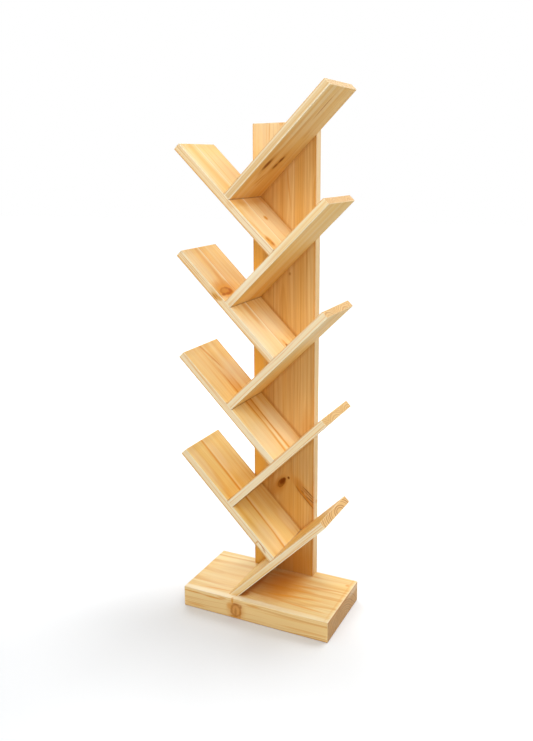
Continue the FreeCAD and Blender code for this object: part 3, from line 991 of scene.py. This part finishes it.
BOARD_FINISHES: Tuple[PineFinish, ...] = (
    PineFinish(seed=1.0, pith=(0.0, 0.022, -0.0195), ring_width=0.005, wander=0.006, flatness=0.45,
               stave_width=0.5, first_seam=-0.25, stave_spread=0.0, end_share=0.95,
               palette=RINGED_END_PALETTE, marks=(
        Mark(RESIN, (0.0, 0.0, UNDER), (0.022, 0.2, 0.006), 0.6),
        edge_tone(HONEY, 0.06, 0.08, 0.4),
    )),
    PineFinish(seed=2.0, first_seam=-0.0165, stave_contrast=0.02, seam_share=0.0,
               palette=YELLOW_BOARD_PALETTE, marks=(
        *patches(PALE, (0.045, -0.055, 0.035, 0.035, 0.25)),
        # Broad painted shade on the upper face, laid in the joint colour.
        *patches(JOINT, (0.105, -0.05, 0.045, 0.03, 0.12), (0.215, 0.02, 0.018, 0.06, 0.12)),
        *patches(PALE, (0.05, 0.075, 0.025, 0.015, 0.35), (0.32, 0.008, 0.04, 0.012, 0.3),
                 (0.32, -0.08, 0.06, 0.012, 0.3)),
        *streaks(HEARTWOOD, (0.2, -0.066, 0.3, -0.062, 0.005, 0.3)),
        *streaks(PALE, (-0.1, -0.015, 0.5, 0.001, 0.0026, 0.25), (-0.05, -0.019, 0.04, -0.018, 0.003, 0.4)),
        *streaks(HEARTWOOD, (-0.05, -0.032, 0.06, -0.0205, 0.003, 0.8),
                 (0.03, -0.0215, 0.5, -0.006, 0.0034, 0.85)),
        *streaks(RESIN, (0.05, -0.0205, 0.25, -0.0135, 0.0016, 0.35)),
        *front_marks(HEARTWOOD, (0.062, -0.011, 0.0016, 0.004, 0.7)),
        *front_marks(RESIN, (0.05, -0.006, 0.008, 0.0009, 0.7), (0.037, -0.0078, 0.005, 0.001, 0.7),
                     (0.03, -0.0112, 0.0045, 0.001, 0.6)),
        *front_marks(HEARTWOOD, (0.04, -0.0195, 0.018, 0.0012, 0.8)),
        edge_tone(HONEY, 0.3, 0.07, 0.12),
    )),
    PineFinish(seed=3.0, first_seam=0.03, marks=(edge_tone(HONEY, 0.3, 0.07, 0.14),)),
    PineFinish(seed=4.0, first_seam=-0.009, stave_contrast=0.04, seam_share=0.0, marks=(
        *patches(PALE, (0.05, -0.05, 0.045, 0.04, 0.3)),
        # Broad painted shade on the upper face, laid in the joint colour.
        *patches(JOINT, (0.085, -0.05, 0.05, 0.03, 0.1)),
        *patches(PALE, (0.065, 0.05, 0.05, 0.03, 0.5), (0.26, 0.05, 0.035, 0.035, 0.3)),
        *patches(HEARTWOOD, (0.19, 0.005, 0.06, 0.009, 0.55)),
        *streaks(PALE, (-0.05, -0.004, 0.08, 0.001, 0.004, 0.35)),
        *streaks(HEARTWOOD, (-0.05, -0.023, 0.09, -0.0095, 0.0032, 0.8),
                 (0.07, -0.009, 0.3, -0.009, 0.0034, 0.85)),
        *streaks(RESIN, (0.1, -0.008, 0.28, -0.009, 0.0014, 0.4)),
        *streaks(HEARTWOOD, (-0.05, 0.0105, 0.12, 0.015, 0.0034, 0.85),
                 (0.09, 0.015, 0.26, 0.0225, 0.0034, 0.85)),
        *streaks(RESIN, (0.06, 0.013, 0.19, 0.02, 0.0014, 0.45)),
        *streaks(HEARTWOOD, (0.3, 0.0115, 0.42, -0.018, 0.0034, 0.85)),
        *streaks(RESIN, (0.3, 0.011, 0.34, 0.003, 0.0014, 0.4)),
    )),
    PineFinish(seed=5.0, first_seam=-0.02),
    PineFinish(seed=6.0, first_seam=-0.005, marks=(
        *patches(PALE, (0.07, -0.03, 0.06, 0.05, 0.3), (0.095, 0.04, 0.03, 0.045, 0.35),
                 (0.06, -0.075, 0.05, 0.015, 0.3), (0.32, -0.07, 0.05, 0.012, 0.25),
                 (0.27, 0.008, 0.04, 0.012, 0.2)),
        # Broad painted shade on the upper face, laid in the joint colour.
        *patches(JOINT, (0.34, 0.06, 0.05, 0.03, 0.1)),
        *patches(HEARTWOOD, (0.145, -0.026, 0.04, 0.008, 0.5)),
        *streaks(PALE, (-0.05, -0.0915, 0.2, -0.0915, 0.006, 0.5),
                 (0.25, -0.0915, 0.45, -0.0915, 0.006, 0.35), (-0.1, -0.0095, 0.5, -0.0085, 0.0028, 0.6)),
        *streaks(HEARTWOOD, (-0.1, -0.0045, 0.5, -0.0038, 0.0009, 0.6),
                 (0.24, -0.032, 0.42, -0.022, 0.008, 0.35), (0.3, -0.0265, 0.24, -0.04, 0.006, 0.4)),
        Mark(PALE, (0.211, -0.076, 0.0), (0.005, 0.016, 0.02), 0.45),
        Mark(HEARTWOOD, (0.236, -0.052, 0.0), (0.018, 0.032, 0.02), 0.85),
        Mark(KNOT, (0.2285, -0.053, 0.0), (0.0115, 0.027, 0.02), 0.9, darkness=0.4),
        *patches(RESIN, (0.2185, -0.048, 0.0032, 0.01, 0.9), (0.2195, -0.076, 0.0028, 0.007, 0.9),
                 (0.225, -0.029, 0.0048, 0.0062, 0.9), (0.236, -0.04, 0.003, 0.005, 0.45)),
        Mark(RESIN, (0.224, FRONT, 0.0), (0.006, 0.004, 0.0012), 0.5),
        Mark(HEARTWOOD, (0.226, FRONT, -0.011), (0.009, 0.004, 0.0036), 0.7),
        *front_marks(RESIN, (0.228, -0.0135, 0.008, 0.001, 0.8), (0.224, -0.008, 0.005, 0.0009, 0.6),
                     deep=0.004),
        Mark(HEARTWOOD, (0.214, FRONT, -0.004), (0.005, 0.004, 0.0046), 0.8),
        Mark(RESIN, (0.238, FRONT, -0.0195), (0.015, 0.004, 0.001), 0.5),
        edge_tone(HONEY, 0.3, 0.07, 0.1),
        *front_marks(HEARTWOOD, (0.33, -0.006, 0.045, 0.0008, 0.6), (0.325, -0.011, 0.05, 0.0008, 0.6),
                     (0.33, -0.016, 0.045, 0.0008, 0.6)),
        *streaks(HEARTWOOD, (0.036, 0.012, 0.012, 0.015, 0.004, 0.6)),
        Mark(RESIN, (0.0135, 0.014, 0.0), (0.0042, 0.0045, 0.008), 0.9),
    )),
    PineFinish(seed=7.0, first_seam=0.01, palette=DULL_END_PALETTE, marks=(
        Mark(HEARTWOOD, (0.1, 0.0, UNDER), (0.09, 0.13, 0.008), 0.2),
        edge_tone(HONEY, 0.3, 0.08, 0.32),
        edge_tone(PALE, 0.1, 0.05, 0.5),
    )),
    PineFinish(seed=8.0, first_seam=-0.014, palette=UPPER_BOARD_PALETTE, marks=(
        *patches(PALE, (0.09, 0.065, 0.05, 0.02, 0.35), (0.075, -0.025, 0.045, 0.05, 0.3)),
        *patches(HONEY, (0.37, 0.03, 0.02, 0.06, 0.3)),
        *patches(HEARTWOOD, (0.168, 0.0, 0.01, 0.2, 0.35)),
        *streaks(PALE, (0.19, -0.0915, 0.42, -0.0915, 0.0055, 0.45), (-0.1, -0.019, 0.5, -0.015, 0.003, 0.6)),
        *streaks(HEARTWOOD, (-0.1, -0.0157, 0.5, -0.0113, 0.0009, 0.55),
                 (0.045, -0.082, 0.1, -0.086, 0.004, 0.4)),
        *patches(HEARTWOOD, (0.027, -0.0765, 0.0135, 0.008, 1.0)),
        *patches(RESIN, (0.02, -0.0725, 0.0046, 0.004, 0.6), (0.036, -0.08, 0.0046, 0.004, 0.5)),
        *patches(HEARTWOOD, (0.103, 0.0144, 0.005, 0.006, 1.0)),
        edge_tone(HONEY, 0.3, 0.08, 0.25),
    )),
    PineFinish(seed=9.0, first_seam=-0.045, palette=TOP_BOARD_PALETTE, edge_share=0.6, marks=(
        Mark(HEARTWOOD, (0.1, 0.0, UNDER), (0.09, 0.13, 0.008), 0.2),
        *streaks(HEARTWOOD, (0.085, -0.053, 0.17, -0.048, 0.009, 0.8),
                 (0.085, 0.004, 0.17, 0.015, 0.009, 0.8), up=UNDER),
        Mark(CORE, (0.1245, -0.0508, UNDER), (0.012, 0.0064, 0.008), tilt=-0.09),
        Mark(CORE, (0.118, 0.008, UNDER), (0.0064, 0.0048, 0.008), 0.9, tilt=-0.2),
        Mark(CORE, (0.139, 0.013, UNDER), (0.0074, 0.0054, 0.008), tilt=-0.2),
        *streaks(HEARTWOOD, (0.05, -0.025, 0.09, -0.008, 0.0035, 0.8),
                 (0.045, -0.005, 0.08, 0.005, 0.003, 0.6), (0.15, -0.044, 0.3, -0.036, 0.004, 0.45),
                 (0.215, 0.028, 0.245, 0.029, 0.004, 0.5), (0.285, -0.0155, 0.36, -0.0165, 0.0022, 1.0),
                 up=UNDER),
        *streaks(RESIN, (0.288, -0.0155, 0.345, -0.0162, 0.0018, 0.7), up=UNDER),
    )),
)


@dataclass
class SpinePlank:
    """The upright plank that carries the boards."""

    effects: Effects
    width: float = 0.188
    thickness: float = 0.034
    foot: float = 0.06
    top: float = 1.36775
    front: float = 0.091
    knot_lean: float = -0.62
    board_spacing: float = 0.281
    board_drop: float = 0.0297

    def axes(self) -> Axes:
        """Gives the plank's own axes: the origin is in its front face, at its foot."""
        return Axes(
            origin=(0.0, self.front, self.foot), along=(0.0, 0.0, 1.0), across=(1.0, 0.0, 0.0),
            up=(0.0, -1.0, 0.0), low=(0.0, -self.width / 2, -self.thickness),
            high=(self.top - self.foot, self.width / 2, 0.0),
        )

    def dress(self) -> None:
        """Dresses the plank in close straight-grained pine with its knots, painted shade in its corners and
        foot, and painted light at its top.
        """
        side, middle = self.width / 2, (self.top - self.foot) / 2
        marks = (
            Mark(HONEY, (0.22, 0.02, 0.0), (0.06, 0.04, 0.006), 0.3),
            Mark(HEARTWOOD, (0.458, 0.07, 0.0), (0.035, 0.009, 0.006), 0.3),
            Mark(HEARTWOOD, (0.264, -0.015, 0.0), (0.024, 0.011, 0.03), 0.5, tilt=self.knot_lean),
            Mark(KNOT, (0.2765, -0.0065, 0.0), (0.016, 0.0085, 0.03), 0.7, tilt=self.knot_lean,
                 darkness=0.25),
            Mark(CORE, (0.2815, -0.0035, 0.0), (0.008, 0.0048, 0.03), 0.95, tilt=self.knot_lean),
            Mark(CORE, (0.29, 0.003, 0.0), (0.003, 0.003, 0.03), 0.8, tilt=self.knot_lean),
            Mark(CORE, (0.2956, 0.0159, 0.0), (0.0026, 0.0022, 0.004)),
            Mark(HEARTWOOD, (0.2288, side, -0.0215), (0.004, 0.004, 0.003), 0.8),
            # Painted light on the plank's top, where it rises clear of the boards' shade.
            Mark(PALE, (1.31, -0.085, 0.0), (0.08, 0.075, 0.012), 0.55),
            # Painted shade at the plank's foot, where it stands on the base.
            Mark(HEARTWOOD, (0.03, 0.0, 0.0), (0.05, 0.09, 0.02), 0.65),
            Mark(HONEY, (0.48, -0.08, 0.0), (0.42, 0.018, 0.006), 0.9),
            Mark(HEARTWOOD, (middle, side - 0.001, 0.001), (ENDLESS, 0.0026, 0.002), 0.5),
            Mark(RESIN, (0.2, side - 0.001, 0.001), (0.09, 0.003, 0.002), 0.5),
            Mark(HEARTWOOD, (0.2, side, 0.0), (0.09, 0.002, 0.0045), 0.8),
            Mark(HEARTWOOD, (middle, 0.001 - side, 0.001), (ENDLESS, 0.0022, 0.002), 0.45),
            Mark(HEARTWOOD, (middle, side, -self.thickness), (ENDLESS, 0.002, 0.004), 0.35),
            *streaks(HEARTWOOD, (0.301, 0.03, 0.26, 0.07, 0.008, 0.5)),
            *streaks(RESIN, (0.285, 0.04, 0.218, 0.096, 0.0085, 0.3)),
            *streaks(CORE, (0.275, 0.0615, 0.246, 0.0953, 0.0013, 0.8),
                     (0.268, 0.061, 0.238, 0.0953, 0.0009, 0.55), (0.264, 0.055, 0.253, 0.064, 0.0019, 0.7),
                     (0.2502, 0.0666, 0.23, 0.097, 0.0012, 0.7)),
            *streaks(RESIN, (0.269, 0.045, 0.229, 0.084, 0.0012, 0.6)),
            *streaks(HEARTWOOD, (0.279, 0.037, 0.213, 0.0965, 0.0026, 0.8)),
            *streaks(CORE, (0.256, 0.0515, 0.211, 0.0972, 0.0011, 0.6)),
            *streaks(RESIN, (0.276, 0.0375, 0.252, 0.055, 0.0013, 0.6)),
            *streaks(HEARTWOOD, (1.25, -0.044, 1.32, -0.0415, 0.0013, 0.45),
                     (1.25, -0.052, 1.32, -0.05, 0.001, 0.25)),
            *patches(HEARTWOOD, (1.308, -0.0075, 0.006, 0.0045, 0.45)),
            *streaks(HEARTWOOD, (1.19, 0.0085, 1.08, 0.021, 0.0014, 0.5)),
            *patches(RESIN, (0.897, 0.0182, 0.003, 0.0024, 0.6)),
        )
        spacing, drop = self.board_spacing, self.board_drop
        # Painted shade in the corners above and below the boards that cross the plank.
        ladders = (BoardLadder(1.0, 0.08375, -0.08375, spacing, drop, top=1.3),
                   BoardLadder(-1.0, 0.19725, -0.05675, spacing, drop, top=1.15))
        finish = PineFinish(seed=21.0, ladders=ladders, marks=marks, palette=SPINE_PALETTE,
                            pith=(0.0, 0.01, -0.035), ring_width=0.0058, stave_width=0.0627,
                            first_seam=-0.094, stave_contrast=0.07, rings=0.35, stripes=0.5,
                            stripe_count=150.0, seam_share=0.3, edge_share=0.7)
        dress("spine_plank", finish.material("pine_spine", self.axes(), self.effects))


@dataclass
class BaseBlock:
    """The heavy block that the stand stands on."""

    effects: Effects
    width: float = 0.44
    depth: float = 0.25
    height: float = 0.06

    def axes(self) -> Axes:
        """Gives the block's own axes: the grain runs from left to right."""
        return Axes(
            origin=(0.0, 0.0, 0.0), along=(1.0, 0.0, 0.0), across=(0.0, 1.0, 0.0), up=(0.0, 0.0, 1.0),
            low=(-self.width / 2, -self.depth / 2, 0.0), high=(self.width / 2, self.depth / 2, self.height),
        )

    def dress(self) -> None:
        """Dresses the block in one wide piece of pine with a ringed knot in its front, and a painted shadow
        on its top.
        """
        front, top, end = -self.depth / 2, self.height, self.width / 2
        marks = (
            *patches(PALE, (-0.15, -0.117, 0.075, 0.0075, 0.75), (0.1, -0.116, 0.1, 0.0065, 0.45),
                     (end, 0.0, 0.003, 0.3, 0.3), up=top, deep=0.002),
            Mark(RESIN, (end, 0.0, top - 0.0038), (0.001, 0.3, 0.0016), 0.6),
            Mark(PALE, (end, 0.09, 0.05), (0.003, 0.03, 0.006), 0.3),
            *streaks(HEARTWOOD, (-0.17, -0.099, -0.085, -0.091, 0.002, 0.8), up=top),
            Mark(HEARTWOOD, (0.209, 0.03, top), (0.0018, 0.1, 0.004), 0.3),
            Mark(HEARTWOOD, (0.0, front, 0.0), (ENDLESS, 0.004, 0.002), 0.5),
            Mark(RESIN, (end, 0.0, 0.0), (0.003, ENDLESS, 0.0022), 0.5),
            Mark(HEARTWOOD, (-0.072, front, 0.034), (0.006, 0.01, 0.007), 0.6),
            Mark(KNOT, (-0.0528, front, 0.0253), (0.016, 0.03, 0.0185), 0.9, darkness=0.05),
            *front_marks(CORE, (-0.054, 0.021, 0.0026, 0.008, 0.5), (-0.05, 0.044, 0.009, 0.0014, 0.5),
                         (-0.0375, 0.039, 0.0024, 0.0034, 0.6), front=front),
            *front_marks(RESIN, (-0.04, 0.015, 0.0016, 0.008, 0.5), (-0.058, 0.006, 0.01, 0.0016, 0.65),
                         front=front),
            Mark(HEARTWOOD, (-0.064, front, 0.054), (0.0022, 0.004, 0.007), 0.8),
            # Painted shadow on the top, beside the foot of the lowest right board, laid in the heartwood and
            # resin colours.
            Mark(HEARTWOOD, (0.05, 0.01, top), (0.031, 0.056, 0.01), 0.6),
            Mark(RESIN, (0.015, 0.0, top), (0.036, 0.054, 0.01), 0.52),
            *patches(RESIN, (-0.043, 0.0, 0.011, 0.046, 0.9), (-0.045, -0.085, 0.0085, 0.0115, 0.8), up=top,
                     deep=0.004),
            Mark(PALE, (-0.01, -0.113, top), (0.05, 0.0055, 0.002), 0.6),
            *streaks(HEARTWOOD, (0.07, -0.001, 0.135, 0.002, 0.006, 0.5), up=top),
            Mark(PALE, (-0.13, 0.0, top), (0.06, 0.08, 0.01), 0.25),
            *streaks(HEARTWOOD, (0.03, -0.05, 0.16, -0.03, 0.0035, 0.6),
                     (0.05, -0.075, 0.19, -0.085, 0.0025, 0.6), (0.07, 0.02, 0.18, 0.04, 0.004, 0.5), up=top),
            *front_marks(HEARTWOOD, (-0.125, 0.0475, 0.02, 0.0016, 0.8), (-0.096, 0.053, 0.009, 0.0016, 0.6),
                         (-0.19, 0.0495, 0.02, 0.0014, 0.7), (-0.178, 0.011, 0.022, 0.0018, 0.5),
                         (-0.001, 0.051, 0.016, 0.0016, 0.7), (0.09, 0.04, 0.05, 0.0014, 0.3),
                         (0.15, 0.017, 0.05, 0.0018, 0.4), front=front),
            Mark(HEARTWOOD, (0.2029, 0.0853, top), (0.004, 0.0035, 0.01), 0.7),
        )
        finish = PineFinish(seed=31.0, stave_width=0.5, first_seam=-0.25, ring_width=0.008, wander=0.035,
                            pith=(0.0, 0.0, -0.08), rings=0.35, stripes=0.6, stripe_count=60.0,
                            edge_share=0.75, sawn_share=0.6, marks=marks, palette=BASE_PALETTE)
        dress("base_block", finish.material("pine_base", self.axes(), self.effects))


@dataclass
class Fasteners:
    """The hidden dowels and the countersunk screws."""

    dowels: BeechFinish = field(default_factory=BeechFinish)
    screws: ZincFinish = field(default_factory=ZincFinish)

    def dress(self) -> None:
        """Dresses every dowel and screw."""
        beech, zinc = self.dowels.material("turned_beech"), self.screws.material("zinc_plate")
        for name in sorted(frame["nodes"]):
            if name.endswith("_dowels"):
                dress(name, beech)
            elif name.endswith("_screws"):
                dress(name, zinc)


@dataclass(frozen=True)
class SoftBox:
    """A square soft lamp that is aimed at the stand and isn't seen itself."""

    name: str
    place: Number3
    power: float
    side: float = 1.5
    aim: Number3 = (0.0, 0.0, 0.8)

    def build(self, lit: Optional[Object] = None) -> None:
        """Builds the lamp.

        Args:
            lit: The only object that it lights, or None where it lights everything.
        """
        lamp = bpy.data.lights.new(self.name, "AREA")
        lamp.energy, lamp.size = self.power, self.side
        box = bpy.data.objects.new(self.name, lamp)
        box.location = self.place
        box.rotation_euler = (Vector(self.place) - Vector(self.aim)).to_track_quat("Z", "Y").to_euler()
        box.visible_camera = False
        bpy.context.scene.collection.objects.link(box)
        if lit is not None:
            receivers = bpy.data.collections.new(f"lit by the {self.name}")
            receivers.objects.link(lit)
            box.light_linking.receiver_collection = receivers


@dataclass
class Studio:
    """A plain pale floor under soft light."""

    floor_half: float = 15.0
    floor_colour: Number3 = (213, 213, 213)
    seen_floor_colour: Number3 = (226, 228, 230)
    near_lift: float = 0.02
    lifts: Tuple[Number3, ...] = ((0.16, 0.75, 0.15), (0.9, 2.4, 0.6))
    ambient: float = 0.40
    floor_lamp: SoftBox = SoftBox("floor box", (0.55, 1.35, 2.6), 23.4, side=1.2, aim=(0.0, 0.0, 0.0))
    lamps: Tuple[SoftBox, ...] = (
        SoftBox("front box", (0.0, -1.9, 2.4), 16.8),
        SoftBox("right front box", (1.065, -1.844, 2.491), 24.0, side=2.0, aim=(0.0, 0.0, 0.6)),
        SoftBox("right back box", (1.3435, 1.3435, 2.4), 26.4),
        SoftBox("back box", (0.0, 1.9, 1.5), 6.4),
        SoftBox("left back box", (-1.3435, 1.3435, 2.4), 30.4),
    )

    def build(self) -> None:
        """Builds the floor, the surrounding light and the lamps."""
        bpy.context.scene.view_settings.view_transform = "Standard"
        self.floor_lamp.build(self._build_floor())
        self._build_world()
        for lamp in self.lamps:
            lamp.build()
            log.info("lit the %s", lamp.name)

    def _build_floor(self) -> Object:
        """Builds the floor: what the camera sees of it is lifted to white, and the shadow stays.

        Returns:
            The floor.
        """
        half = self.floor_half
        mesh = bpy.data.meshes.new("floor")
        mesh.from_pydata([(-half, -half, 0), (half, -half, 0), (half, half, 0), (-half, half, 0)], [],
                         [(0, 1, 2, 3)])
        floor = bpy.data.objects.new("floor", mesh)
        bpy.context.scene.collection.objects.link(floor)
        material = bpy.data.materials.new("floor")
        g = empty_graph(material)
        seen = g.node("ShaderNodeLightPath").outputs["Is Camera Ray"]
        colour = g.mix(seen, tint(*self.floor_colour), tint(*self.seen_floor_colour))
        paint = g.node("ShaderNodeBsdfDiffuse", {"Color": colour})
        away = g.vector("LENGTH", g.node("ShaderNodeTexCoord").outputs["Object"])
        level = self.near_lift
        for start, end, rise in self.lifts:
            level = g.plus(g.fade(away, start, end, 0.0, rise), level)
        lift = g.node("ShaderNodeEmission", {"Color": WHITE, "Strength": g.times(seen, level)})
        both = g.node("ShaderNodeAddShader", {0: paint.outputs[0], 1: lift.outputs[0]})
        g.node("ShaderNodeOutputMaterial", {"Surface": both.outputs[0]})
        mesh.materials.append(material)
        return floor

    def _build_world(self) -> None:
        """Builds the surroundings: white to the eye and in gloss, and a softer level of light."""
        world = bpy.data.worlds.new("studio")
        bpy.context.scene.world = world
        g = empty_graph(world)
        path = g.node("ShaderNodeLightPath").outputs
        seen = g.math("MAXIMUM", path["Is Camera Ray"], g.math("MAXIMUM", path["Is Glossy Ray"],
                                                               path["Is Transmission Ray"]))
        strength = g.plus(self.ambient, g.times(seen, 1.0 - self.ambient))
        light = g.node("ShaderNodeBackground", {"Color": WHITE, "Strength": strength})
        g.node("ShaderNodeOutputWorld", {"Surface": light.outputs[0]})


@dataclass
class StudioCamera:
    """The camera: in front of the stand, to its right and a little above it."""

    place: Number3 = (0.896003, -2.007117, 1.25551)
    turn: float = 28.308
    tip: float = -11.233
    roll: float = -0.947
    focal_pixels: float = 818.247
    off_centre: Tuple[float, float] = (-55.592, -42.178)
    long_side: float = 741.0
    sensor: float = 36.0

    def build(self) -> None:
        """Builds the camera and makes it the scene's."""
        turn, tip, roll = (math.radians(angle) for angle in (self.turn, self.tip, self.roll))
        ahead = Vector((-math.sin(turn) * math.cos(tip), math.cos(turn) * math.cos(tip), math.sin(tip)))
        level = Vector((math.cos(turn), math.sin(turn), 0.0))
        over = level.cross(ahead)
        right = level * math.cos(roll) + over * math.sin(roll)
        top = over * math.cos(roll) - level * math.sin(roll)
        data = bpy.data.cameras.new("camera")
        data.sensor_width = self.sensor
        data.lens = self.focal_pixels / self.long_side * self.sensor
        data.shift_x = -self.off_centre[0] / self.long_side
        data.shift_y = self.off_centre[1] / self.long_side
        camera = bpy.data.objects.new("camera", data)
        facing = Matrix((right, top, -ahead)).transposed().to_4x4()
        camera.matrix_world = Matrix.Translation(self.place) @ facing
        bpy.context.scene.collection.objects.link(camera)
        bpy.context.scene.camera = camera


def main() -> None:
    """Dresses the stand and builds the studio round it."""
    logging.basicConfig(level=logging.INFO, format="%(message)s")
    effects = Effects.build()
    BaseBlock(effects).dress()
    SpinePlank(effects).dress()
    SlopingBoards(effects).dress()
    Fasteners().dress()
    Studio().build()
    StudioCamera().build()


if __name__ == "__main__":
    main()
